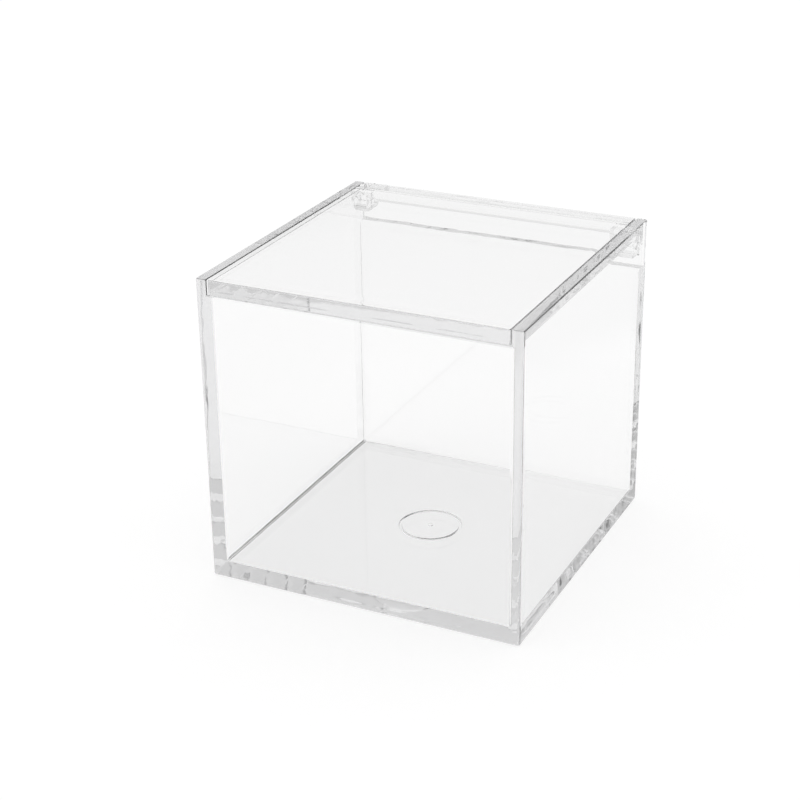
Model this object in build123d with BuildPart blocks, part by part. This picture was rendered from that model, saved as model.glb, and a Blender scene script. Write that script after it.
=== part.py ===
# A clear square storage box with a lid that swings up on two moulded pins at the back.
# Millimetres, +Z up. X runs across the box, Y from the front (-) to the back (+).
# The origin is on the table, in the middle of the box's base.

import os

from build123d import *

os.makedirs("parts", exist_ok=True)

# The box, a near-cube moulded in one piece
box_width = 100.0
box_depth = 100.0
box_height = 95.5
wall = 3.5
floor_thickness = 4.1
outer_corner_radius = 0.9
inner_corner_radius = 0.9
post_edge_radius = 0.9
base_edge_radius = 0.6
rim_edge_radius = 0.4
crest_chamfer = 0.3

# The lid, a plate that drops in between the two side walls
lid_thickness = 4.5
lid_side_gap = 0.3
lid_rest_gap = 0.3
lid_corner_radius = 0.9
lid_edge_radius = 0.3

# The flange that hangs down along the lid's back edge, and the air that it swings in
flange_thickness = 3.5
flange_depth = 3.7
rear_wall_drop = 15.0

# The hinge: round pins on two ears at the lid's back corners, in blind holes in the side walls
axis_from_rear = 6.5
axis_from_top = 7.5
ear_side_inset = 0.3
ear_rear_inset = 0.9
ear_width = 4.6
ear_length = 8.8
ear_depth = 5.7
ear_corner_radius = 1.6
pin_radius = 2.0
pin_running_gap = 0.08
pin_end_gap = 0.3
pin_tip_chamfer = 0.4
socket_depth = 2.2

# The moulder's mark on the floor, inside: a shallow ring-shaped groove with the gate's stub in its middle
gate_ring_radius = 9.8
gate_ring_width = 0.8
gate_ring_depth = 0.45
gate_rim_radius = 0.25
gate_stub_radius = 0.8
gate_stub_height = 0.3

# Length by which every cutting shape runs on past the face that it opens
overrun = 1.0

# How near an edge's middle must lie to the place where it is looked for
match_distance = 0.01

# Positions that follow from the sizes above
inner_width = box_width - 2 * wall
inner_depth = box_depth - 2 * wall
lid_width = inner_width - 2 * lid_side_gap
lid_underside = box_height - lid_thickness
front_wall_top = lid_underside - lid_rest_gap
rear_wall_top = box_height - rear_wall_drop
axis_y = box_depth / 2 - axis_from_rear
axis_z = box_height - axis_from_top
ear_outer_x = lid_width / 2 - ear_side_inset
pin_reach = inner_width / 2 + socket_depth - pin_end_gap - ear_outer_x


def stands_at(edge, x, y):
    # True for an edge whose middle lies this far from both centre planes, on any of the four sides
    middle = edge.center()
    return abs(abs(middle.X) - x) < match_distance and abs(abs(middle.Y) - y) < match_distance


# The box body: floor, two full-height side walls, a front wall that the lid rests on,
# and a rear wall cut low enough for the lid's back edge to swing over it
with BuildPart() as box_body:
    with BuildSketch(Plane.XY):
        Rectangle(box_width, box_depth)
    extrude(amount=box_height)

    # The inside, open at the top
    with BuildSketch(Plane.XY.offset(floor_thickness)):
        Rectangle(inner_width, inner_depth)
    extrude(amount=box_height, mode=Mode.SUBTRACT)

    # Front and rear walls brought down below the lid
    for side, wall_top in ((-1, front_wall_top), (1, rear_wall_top)):
        with BuildSketch(Plane.XY.offset(wall_top)):
            with Locations((0, side * (box_depth - wall) / 2)):
                Rectangle(inner_width, wall + 2 * overrun)
        extrude(amount=box_height, mode=Mode.SUBTRACT)

    # Rounded uprights: the box's four outer corners, and the ends of the side walls beside the lid
    upright_edges = box_body.edges().filter_by(Axis.Z)
    outer_edges = upright_edges.filter_by(lambda e: stands_at(e, box_width / 2, box_depth / 2))
    fillet(outer_edges, outer_corner_radius)
    upright_edges = box_body.edges().filter_by(Axis.Z)
    post_edges = upright_edges.filter_by(lambda e: stands_at(e, inner_width / 2, box_depth / 2))
    fillet(post_edges, post_edge_radius)

    # Rounded edges at the base and on the side walls' tops, eased ones along the two lower walls' tops
    fillet(box_body.faces().sort_by(Axis.Z)[0].edges(), base_edge_radius)
    rim_edges = box_body.edges().filter_by_position(Axis.Z, box_height, box_height)
    fillet(rim_edges, rim_edge_radius)
    for wall_top in (front_wall_top, rear_wall_top):
        long_edges = box_body.edges().filter_by(Axis.X).filter_by_position(
            Axis.Z, wall_top, wall_top
        )
        chamfer(long_edges, crest_chamfer)

    # Rounded corners inside, up the walls and round the floor
    upright_edges = box_body.edges().filter_by(Axis.Z)
    corner_edges = upright_edges.filter_by(lambda e: stands_at(e, inner_width / 2, inner_depth / 2))
    floor_edges = box_body.edges().filter_by_position(Axis.Z, floor_thickness, floor_thickness)
    fillet(corner_edges + floor_edges, inner_corner_radius)

    # Blind holes for the lid's pins, in the inner faces of the side walls
    for side in (-1, 1):
        socket_plane = Plane(
            origin=(side * inner_width / 2, axis_y, axis_z),
            x_dir=(0, 1, 0),
            z_dir=(side, 0, 0),
        )
        with BuildSketch(socket_plane):
            Circle(pin_radius + pin_running_gap)
        extrude(amount=socket_depth, mode=Mode.SUBTRACT)

    # Ring-shaped groove in the floor's upper face with rounded rims, and the stub that stands in its middle
    with BuildSketch(Plane.XY.offset(floor_thickness)):
        Circle(gate_ring_radius)
        Circle(gate_ring_radius - gate_ring_width, mode=Mode.SUBTRACT)
    extrude(amount=-gate_ring_depth, mode=Mode.SUBTRACT)
    round_edges = box_body.edges().filter_by(GeomType.CIRCLE).filter_by_position(
        Axis.Z, floor_thickness, floor_thickness
    )
    inner_rim_radius = gate_ring_radius - gate_ring_width
    gate_rims = round_edges.filter_by(lambda e: e.radius > inner_rim_radius - match_distance)
    fillet(gate_rims, gate_rim_radius)
    with BuildSketch(Plane.XY.offset(floor_thickness)):
        Circle(gate_stub_radius)
    extrude(amount=gate_stub_height)

box_body.part.label = "box_body"
export_step(box_body.part, "parts/box_body.step")

# The lid: plate, rear flange, two ears and two pins in one moulding
with BuildPart() as lid:
    with BuildSketch(Plane.XY.offset(lid_underside)):
        Rectangle(lid_width, box_depth)
    extrude(amount=lid_thickness)

    with BuildSketch(Plane.XY.offset(lid_underside)):
        with Locations((0, (box_depth - flange_thickness) / 2)):
            Rectangle(lid_width, flange_thickness)
    extrude(amount=-flange_depth)

    upright_edges = lid.edges().filter_by(Axis.Z)
    corner_edges = upright_edges.filter_by(lambda e: stands_at(e, lid_width / 2, box_depth / 2))
    fillet(corner_edges, lid_corner_radius)
    fillet(lid.edges() - lid.edges().filter_by(Axis.Z), lid_edge_radius)

    # An ear below each back corner, rounded along its lower edges, with a pin on its outer side
    for side in (-1, 1):
        with BuildSketch(Plane.YZ.offset(side * ear_outer_x)) as ear_side:
            with Locations((
                box_depth / 2 - ear_rear_inset - ear_length / 2,
                lid_underside - ear_depth / 2,
            )):
                Rectangle(ear_length, ear_depth)
            fillet(ear_side.vertices().sort_by(Axis.Y)[:2], ear_corner_radius)
        extrude(amount=-side * ear_width)

        pin_plane = Plane(
            origin=(side * ear_outer_x, axis_y, axis_z),
            x_dir=(0, 1, 0),
            z_dir=(side, 0, 0),
        )
        with BuildSketch(pin_plane):
            Circle(pin_radius)
        extrude(amount=pin_reach)
        tip_edge = lid.edges().sort_by(Axis.X)[0 if side < 0 else -1]
        chamfer(tip_edge, pin_tip_chamfer)

lid.part.label = "lid"
export_step(lid.part, "parts/lid.step")
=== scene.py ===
# A clear square storage box with a lid that swings up on two moulded pins at the back.
# Metres, +Z up. X runs across the box, Y from the front (-) to the back (+), and it stands on Z = 0.

import math

import bpy
from bpy.props import FloatProperty, FloatVectorProperty, PointerProperty
from bpy.types import Operator, Panel, PropertyGroup
from mathutils import Matrix, Vector


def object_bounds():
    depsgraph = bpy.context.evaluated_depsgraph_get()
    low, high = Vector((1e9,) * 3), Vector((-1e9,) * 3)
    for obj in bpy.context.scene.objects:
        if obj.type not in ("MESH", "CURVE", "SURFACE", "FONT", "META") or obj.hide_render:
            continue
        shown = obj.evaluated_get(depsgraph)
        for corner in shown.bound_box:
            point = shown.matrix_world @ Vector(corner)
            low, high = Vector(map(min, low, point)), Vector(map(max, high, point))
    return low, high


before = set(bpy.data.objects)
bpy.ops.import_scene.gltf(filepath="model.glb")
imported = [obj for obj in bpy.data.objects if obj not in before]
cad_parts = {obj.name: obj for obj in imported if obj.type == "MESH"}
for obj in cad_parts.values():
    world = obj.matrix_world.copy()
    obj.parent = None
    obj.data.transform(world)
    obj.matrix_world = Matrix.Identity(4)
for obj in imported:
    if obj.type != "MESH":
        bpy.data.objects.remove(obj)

bl_info = {
    "name": "Clear hinged storage box",
    "version": (1, 0, 0),
    "blender": (4, 5, 0),
    "location": "3D View > Sidebar > Clear Box",
    "description": "Finishes and stage for a clear moulded box with a hinged lid",
    "category": "Object",
}

SOLID_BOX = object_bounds()
MM = 0.001
WHITE = (1, 1, 1, 1)

# Setting of a map range that eases in and out
SMOOTH = {"interpolation_type": "SMOOTHSTEP"}


def srgb(hex_colour):
    """Linear RGB, by the sRGB curve, of a colour that is written as an sRGB hex value."""
    steps = [int(hex_colour[i:i + 2], 16) / 255 for i in (1, 3, 5)]
    return tuple(c / 12.92 if c <= 0.04045 else ((c + 0.055) / 1.055) ** 2.4 for c in steps)


def add_node(tree, kind, settings=(), **inputs):
    """Adds a node, sets its own settings, then gives each input a value or another node's output.

    An input goes by its name, with _ for a space, or by its number after a _.
    """
    node = tree.nodes.new(kind)
    for name, value in dict(settings).items():
        setattr(node, name, value)
    for name, value in inputs.items():
        key = int(name[1:]) if name[1:].isdigit() else name.replace("_", " ")
        socket = node.inputs[key]
        if isinstance(value, bpy.types.NodeSocket):
            tree.links.new(value, socket)
        else:
            socket.default_value = value
    return node


# Settings

class ClearMouldingSettings(PropertyGroup):
    """The clear plastic that both mouldings are made of."""

    tint: FloatVectorProperty(
        name="Tint", description="Colour that the clear plastic turns in great thickness",
        subtype="COLOR", size=3, min=0, max=1, default=srgb("#77757C"))
    depth_of_tint: FloatProperty(
        name="Depth of tint", description="How dense the tint is in the depth of the plastic, per metre",
        default=2.1, min=0)
    ripple_width: FloatProperty(
        name="Ripple width", description="Distance from one flow ripple of the moulding to the next",
        unit="LENGTH", subtype="DISTANCE", default=8 * MM, min=1 * MM)
    ripple_height: FloatProperty(
        name="Ripple height", description="Height of the flow ripples in the middle of the faces",
        unit="LENGTH", subtype="DISTANCE", default=0.012 * MM, min=0)
    edge_ripple: FloatProperty(
        name="Edge ripple",
        description="How many times higher the ripples stand on the lid's edges and the box's lower ones",
        default=7.0, min=1)


class StageSettings(PropertyGroup):
    """The sheet on its table, the studio round it and the camera."""

    sheet_width: FloatProperty(
        name="Sheet width", description="Width of the white sheet that the box stands on",
        unit="LENGTH", subtype="DISTANCE", default=340 * MM, min=100 * MM)
    # Painted shade: the sheet's own glow, as the box shows it, is dimmed all over in place of the box's
    # shadow on it
    painted_shade_sheet_level: FloatProperty(
        name="Shaded sheet", description="Brightness of the sheet as the box shows it, where 1 is white",
        default=0.96, min=0)
    beyond_sheet: FloatProperty(
        name="Beyond the sheet",
        description="Brightness of the table beside the sheet, as a share of the sheet's",
        default=0.86, min=0)
    table_size: FloatProperty(
        name="Table size", description="Side of the square table top",
        unit="LENGTH", subtype="DISTANCE", default=6.0, min=1)
    sweep_level: FloatProperty(
        name="Sweep level", description="Brightness of the sweep behind the box, where 1 is white",
        default=0.8, min=0)
    side_level: FloatProperty(
        name="Side level", description="Brightness of the studio to the box's sides, where 1 is white",
        default=0.75, min=0)
    ceiling_level: FloatProperty(
        name="Ceiling level",
        description="Brightness of the ceiling round its white middle, where 1 is white",
        default=0.76, min=0)
    opening_level: FloatProperty(
        name="Opening level",
        description="Brightness of the open side behind the camera, where 1 is white",
        default=0.3, min=0)
    camera_azimuth: FloatProperty(
        name="Camera azimuth", description="How far the camera stands to the right of the box's front",
        unit="ROTATION", subtype="ANGLE", default=math.radians(26.11))
    camera_elevation: FloatProperty(
        name="Camera elevation", description="How far the camera looks down on the box",
        unit="ROTATION", subtype="ANGLE", default=math.radians(24.23))
    camera_roll: FloatProperty(
        name="Camera roll", description="How far the camera is tipped sideways",
        unit="ROTATION", subtype="ANGLE", default=math.radians(-0.88))
    camera_distance: FloatProperty(
        name="Camera distance",
        description="From the camera to the middle of the box's base, along the view",
        unit="LENGTH", subtype="DISTANCE", default=567.5 * MM, min=100 * MM)
    camera_sideways: FloatProperty(
        name="Camera sideways", description="How far the camera is moved to its right",
        unit="LENGTH", subtype="DISTANCE", default=-10.2 * MM)
    camera_upward: FloatProperty(
        name="Camera upward", description="How far the camera is moved along its own up direction",
        unit="LENGTH", subtype="DISTANCE", default=42.39 * MM)
    focal_length: FloatProperty(
        name="Focal length", description="Focal length on a sensor 36 mm wide",
        unit="CAMERA", default=81.06, min=10)


# Finishes

# Refractive index of PMMA
ACRYLIC_IOR = 1.49

# The flow ripple has one finer wave in it, at this share of its height
FINER_WAVES = 1.0
FINER_WAVE_SHARE = 0.4

# Where the edges' deeper ripple begins and where it is full, as shares of the way from the box's middle
# to its faces
EDGE_BEGIN_SHARE = 0.86
EDGE_FULL_SHARE = 0.94

# Heights between which the lower half's edges give way to the upper half's
LOWER_HALF_TOP = 35 * MM
UPPER_HALF_FOOT = 60 * MM


def ripple_strength(tree, place, lower_edges, upper_edges):
    """How many times its plain height the ripple has: 1 on the faces, and another number along edges.

    The edges of the box's lower half and those of its upper half have a number each.
    """
    half_size = (SOLID_BOX[1] - SOLID_BOX[0]) / 2
    middle = (SOLID_BOX[1] + SOLID_BOX[0]) / 2
    # How near the box's outside a point lies along each axis, from 0 in its middle to 1 on its faces
    off_centre = add_node(tree, "ShaderNodeVectorMath", {"operation": "SUBTRACT"}, _0=place, _1=middle)
    reach = add_node(
        tree, "ShaderNodeVectorMath", {"operation": "DIVIDE"}, _0=off_centre.outputs[0], _1=half_size)
    reach = add_node(tree, "ShaderNodeVectorMath", {"operation": "ABSOLUTE"}, _0=reach.outputs[0])
    reach = add_node(tree, "ShaderNodeSeparateXYZ", Vector=reach.outputs[0]).outputs
    # The second largest of the three is near 1 only along the box's edges
    lesser = add_node(tree, "ShaderNodeMath", {"operation": "MINIMUM"}, _0=reach["X"], _1=reach["Y"])
    greater = add_node(tree, "ShaderNodeMath", {"operation": "MAXIMUM"}, _0=reach["X"], _1=reach["Y"])
    greater = add_node(
        tree, "ShaderNodeMath", {"operation": "MINIMUM"}, _0=greater.outputs[0], _1=reach["Z"])
    second = add_node(
        tree, "ShaderNodeMath", {"operation": "MAXIMUM"}, _0=lesser.outputs[0], _1=greater.outputs[0])
    rise = add_node(tree, "ShaderNodeSeparateXYZ", Vector=place).outputs["Z"]
    at_edges = add_node(
        tree, "ShaderNodeMapRange", SMOOTH, Value=rise,
        From_Min=LOWER_HALF_TOP, From_Max=UPPER_HALF_FOOT, To_Min=lower_edges, To_Max=upper_edges)
    return add_node(
        tree, "ShaderNodeMapRange", SMOOTH, Value=second.outputs[0],
        From_Min=EDGE_BEGIN_SHARE, From_Max=EDGE_FULL_SHARE, To_Min=1.0, To_Max=at_edges.outputs[0])


def clear_acrylic(name, settings, upper_edges):
    """PMMA, injection moulded in a polished mould and left as it came out.

    The eye sees straight through its faces, which hardly dim what is behind them. Looked at along a wall,
    through 100 mm of it, it turns a cool pale grey. The faces carry the slight ripple that the melt leaves
    as it flows. Along edges it is deeper and breaks up what shows through their thickness, on the box's
    lower half and all over the lid.
    """
    material = bpy.data.materials.new(name)
    material.use_nodes = True
    tree = material.node_tree
    tree.nodes.clear()
    place = add_node(tree, "ShaderNodeTexCoord").outputs["Object"]
    ripple = add_node(
        tree, "ShaderNodeTexNoise", Vector=place, Scale=1 / settings.ripple_width,
        Detail=FINER_WAVES, Roughness=FINER_WAVE_SHARE)
    strength = ripple_strength(tree, place, settings.edge_ripple, upper_edges)
    height = add_node(
        tree, "ShaderNodeMath", {"operation": "MULTIPLY"},
        _0=ripple.outputs["Fac"], _1=strength.outputs[0])
    relief = add_node(
        tree, "ShaderNodeBump", Strength=1.0, Distance=settings.ripple_height, Height=height.outputs[0])
    plastic = add_node(
        tree, "ShaderNodeBsdfPrincipled", Base_Color=WHITE, Roughness=0.0, IOR=ACRYLIC_IOR,
        Transmission_Weight=1.0, Normal=relief.outputs["Normal"])
    depth = add_node(
        tree, "ShaderNodeVolumeAbsorption", Color=(*settings.tint, 1), Density=settings.depth_of_tint)
    add_node(
        tree, "ShaderNodeOutputMaterial", Surface=plastic.outputs["BSDF"], Volume=depth.outputs["Volume"])
    return material


def finish_node(name, material):
    """Gives a moulding its finish."""
    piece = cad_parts[name]
    piece.data.materials.clear()
    piece.data.materials.append(material)


class CLEARBOX_OT_box_body(Operator):
    """Give the box body its clear moulded finish."""

    bl_idname = "clearbox.box_body"
    bl_label = "Box body"

    def execute(self, context):
        settings = context.scene.clear_moulding
        finish_node("box_body", clear_acrylic("clear_acrylic_body", settings, 1.0))
        return {"FINISHED"}


class CLEARBOX_OT_lid(Operator):
    """Give the lid, with its flange, ears and pins, its clear moulded finish."""

    bl_idname = "clearbox.lid"
    bl_label = "Lid"

    def execute(self, context):
        settings = context.scene.clear_moulding
        finish_node("lid", clear_acrylic("clear_acrylic_lid", settings, settings.edge_ripple))
        return {"FINISHED"}


# Stage

# How far either way the sheet's edge fades into the table
SHEET_EDGE_FADE = 20 * MM

# How much of white is the paper's own light, and the grey that takes the studio's light and the shadow
PAPER_GLOW = 0.8
PAPER_GREY = (0.3, 0.3, 0.3, 1)

# How far the table lies below the box's base, so that the two faces don't lie in one plane
TABLE_DROP = 0.2 * MM

# The sweep is full this near to straight away from the camera, and the sides begin this far round
SWEEP_FULL = math.radians(20)
SIDES_BEGIN = math.radians(36)

# Elevations between which the sweep and the sides give way to the ceiling
CEILING_BEGIN = math.radians(29.5)
CEILING_FULL = math.radians(34.5)

# Elevations between which the ceiling turns white
OVERHEAD_BEGIN = math.radians(55)
OVERHEAD_WHITE = math.radians(75)

# The open side is full this near to straight back past the camera, and ends this far from there
OPENING_FULL = math.radians(40)
OPENING_END = math.radians(60)

# The plastic leads light along its walls from face to face, so light may turn this many times
LIGHT_BOUNCES = 48

# The camera's sensor width in millimetres, and how near and how far it sees, in metres
SENSOR_WIDTH = 36
SIGHT_BEGIN = 0.01
SIGHT_END = 20


class CLEARBOX_OT_stage(Operator):
    """Set up the sheet on its table, the studio and the camera."""

    bl_idname = "clearbox.stage"
    bl_label = "Stage"

    def execute(self, context):
        scene = context.scene
        settings = scene.clear_stage
        turn = settings.camera_azimuth
        away = Vector((-math.sin(turn), math.cos(turn), 0))
        right = Vector((math.cos(turn), math.sin(turn), 0))
        self.table(scene, settings, right)
        self.studio(scene, settings, away)
        self.camera(scene, settings, right)
        scene.view_settings.view_transform = "Standard"
        scene.cycles.max_bounces = LIGHT_BOUNCES
        scene.cycles.transmission_bounces = LIGHT_BOUNCES
        scene.cycles.glossy_bounces = LIGHT_BOUNCES
        return {"FINISHED"}

    def table(self, scene, settings, right):
        """White sheet on a greyer table.

        The camera sees all of it white, but for the box's shadow, and the box itself shows the greys and a
        painted shade over the sheet.
        """
        material = bpy.data.materials.new("white_paper")
        material.use_nodes = True
        tree = material.node_tree
        tree.nodes.clear()
        place = add_node(tree, "ShaderNodeNewGeometry").outputs["Position"]
        across = add_node(tree, "ShaderNodeVectorMath", {"operation": "DOT_PRODUCT"}, _0=place, _1=right)
        across = add_node(tree, "ShaderNodeMath", {"operation": "ABSOLUTE"}, _0=across.outputs["Value"])
        sheet_edge = settings.sheet_width / 2
        level = add_node(
            tree, "ShaderNodeMapRange", SMOOTH, Value=across.outputs[0],
            From_Min=sheet_edge - SHEET_EDGE_FADE, From_Max=sheet_edge + SHEET_EDGE_FADE,
            To_Min=1.0, To_Max=settings.beyond_sheet)
        # Painted shade: the sheet's glow seen in reflections and through the plastic is dimmed in place of
        # the box's shadow
        level = add_node(
            tree, "ShaderNodeMath", {"operation": "MULTIPLY"},
            _0=level.outputs[0], _1=settings.painted_shade_sheet_level)
        path = add_node(tree, "ShaderNodeLightPath").outputs
        level = add_node(
            tree, "ShaderNodeMath", {"operation": "MAXIMUM"},
            _0=level.outputs[0], _1=path["Is Camera Ray"])
        # Its own light is there for the camera, a reflection or the clear plastic, and lights nothing else
        seen = add_node(
            tree, "ShaderNodeMath", {"operation": "MAXIMUM"},
            _0=path["Is Camera Ray"], _1=path["Is Glossy Ray"])
        seen = add_node(
            tree, "ShaderNodeMath", {"operation": "MAXIMUM"},
            _0=seen.outputs[0], _1=path["Is Transmission Ray"])
        shown = add_node(
            tree, "ShaderNodeMath", {"operation": "MULTIPLY"}, _0=seen.outputs[0], _1=level.outputs[0])
        glow = add_node(
            tree, "ShaderNodeMath", {"operation": "MULTIPLY"}, _0=shown.outputs[0], _1=PAPER_GLOW)
        white = add_node(tree, "ShaderNodeEmission", Color=WHITE, Strength=glow.outputs[0])
        paper = add_node(tree, "ShaderNodeBsdfDiffuse", Color=PAPER_GREY)
        both = add_node(tree, "ShaderNodeAddShader", _0=white.outputs[0], _1=paper.outputs[0])
        add_node(tree, "ShaderNodeOutputMaterial", Surface=both.outputs[0])

        half = settings.table_size / 2
        corners = ((-half, -half), (half, -half), (half, half), (-half, half))
        mesh = bpy.data.meshes.new("table_top")
        mesh.from_pydata([(x, y, -TABLE_DROP) for x, y in corners], [], [(0, 1, 2, 3)])
        mesh.materials.append(material)
        table_top = bpy.data.objects.new("table_top", mesh)
        scene.collection.objects.link(table_top)

    def studio(self, scene, settings, away):
        """Pale sweep behind the box, pale sides and ceiling, white overhead, darker behind the camera.

        The camera itself sees plain white all round.
        """
        world = bpy.data.worlds.new("pale_studio")
        scene.world = world
        world.use_nodes = True
        tree = world.node_tree
        tree.nodes.clear()
        sight = add_node(tree, "ShaderNodeTexCoord").outputs["Generated"]
        rise = add_node(tree, "ShaderNodeSeparateXYZ", Vector=sight).outputs["Z"]
        # The line of sight's level part, for how far round from the sweep it points
        level_sight = add_node(
            tree, "ShaderNodeVectorMath", {"operation": "MULTIPLY"}, _0=sight, _1=(1, 1, 0))
        level_sight = add_node(
            tree, "ShaderNodeVectorMath", {"operation": "NORMALIZE"}, _0=level_sight.outputs["Vector"])
        facing = add_node(
            tree, "ShaderNodeVectorMath", {"operation": "DOT_PRODUCT"},
            _0=level_sight.outputs["Vector"], _1=away)
        sweep = add_node(
            tree, "ShaderNodeMapRange", SMOOTH, Value=facing.outputs["Value"],
            From_Min=math.cos(SIDES_BEGIN), From_Max=math.cos(SWEEP_FULL),
            To_Min=settings.side_level, To_Max=settings.sweep_level)
        above = add_node(
            tree, "ShaderNodeMapRange", SMOOTH, Value=rise,
            From_Min=math.sin(CEILING_BEGIN), From_Max=math.sin(CEILING_FULL))
        ceiling = add_node(
            tree, "ShaderNodeMapRange", SMOOTH, Value=rise,
            From_Min=math.sin(OVERHEAD_BEGIN), From_Max=math.sin(OVERHEAD_WHITE),
            To_Min=settings.ceiling_level, To_Max=1.0)
        walls = add_node(
            tree, "ShaderNodeMix", {"data_type": "FLOAT"},
            _0=above.outputs[0], _2=sweep.outputs[0], _3=ceiling.outputs[0])
        toward = add_node(tree, "ShaderNodeVectorMath", {"operation": "DOT_PRODUCT"}, _0=sight, _1=-away)
        opening = add_node(
            tree, "ShaderNodeMapRange", SMOOTH, Value=toward.outputs["Value"],
            From_Min=math.cos(OPENING_END), From_Max=math.cos(OPENING_FULL))
        room = add_node(
            tree, "ShaderNodeMix", {"data_type": "FLOAT"},
            _0=opening.outputs[0], _2=walls.outputs[0], _3=settings.opening_level)
        camera_ray = add_node(tree, "ShaderNodeLightPath").outputs["Is Camera Ray"]
        shown = add_node(
            tree, "ShaderNodeMath", {"operation": "MAXIMUM"}, _0=room.outputs[0], _1=camera_ray)
        air = add_node(tree, "ShaderNodeBackground", Color=WHITE, Strength=shown.outputs[0])
        add_node(tree, "ShaderNodeOutputWorld", Surface=air.outputs[0])

    def camera(self, scene, settings, right):
        """Camera at the photograph's place, set out from the middle of the box's base."""
        turn = settings.camera_azimuth
        tilt = settings.camera_elevation
        roll = settings.camera_roll
        back = Vector((math.sin(turn) * math.cos(tilt), -math.cos(turn) * math.cos(tilt), math.sin(tilt)))
        up = back.cross(right)
        aside = math.cos(roll) * right + math.sin(roll) * up
        upward = math.cos(roll) * up - math.sin(roll) * right
        place = settings.camera_distance * back
        place += settings.camera_sideways * aside
        place += settings.camera_upward * upward
        turned = Matrix((aside, upward, back)).transposed().to_4x4()
        lens = bpy.data.cameras.new("camera")
        lens.sensor_width = SENSOR_WIDTH
        lens.lens = settings.focal_length
        lens.clip_start = SIGHT_BEGIN
        lens.clip_end = SIGHT_END
        camera = bpy.data.objects.new("camera", lens)
        camera.matrix_world = Matrix.Translation(place) @ turned
        scene.collection.objects.link(camera)
        scene.camera = camera


class CLEARBOX_PT_panel(Panel):
    """The box's pieces and its stage."""

    bl_idname = "CLEARBOX_PT_panel"
    bl_label = "Clear Box"
    bl_space_type = "VIEW_3D"
    bl_region_type = "UI"
    bl_category = "Clear Box"

    def draw(self, context):
        layout = self.layout
        for settings in (context.scene.clear_moulding, context.scene.clear_stage):
            column = layout.column()
            for name in settings.__annotations__:
                column.prop(settings, name)
        for operator in (CLEARBOX_OT_box_body, CLEARBOX_OT_lid, CLEARBOX_OT_stage):
            layout.operator(operator.bl_idname)


CLASSES = (
    ClearMouldingSettings,
    StageSettings,
    CLEARBOX_OT_box_body,
    CLEARBOX_OT_lid,
    CLEARBOX_OT_stage,
    CLEARBOX_PT_panel,
)


def register():
    for cls in CLASSES:
        bpy.utils.register_class(cls)
    bpy.types.Scene.clear_moulding = PointerProperty(type=ClearMouldingSettings)
    bpy.types.Scene.clear_stage = PointerProperty(type=StageSettings)


def unregister():
    del bpy.types.Scene.clear_stage
    del bpy.types.Scene.clear_moulding
    for cls in reversed(CLASSES):
        bpy.utils.unregister_class(cls)


def main():
    register()
    bpy.ops.clearbox.box_body()
    bpy.ops.clearbox.lid()
    bpy.ops.clearbox.stage()


if __name__ == "__main__":
    main()
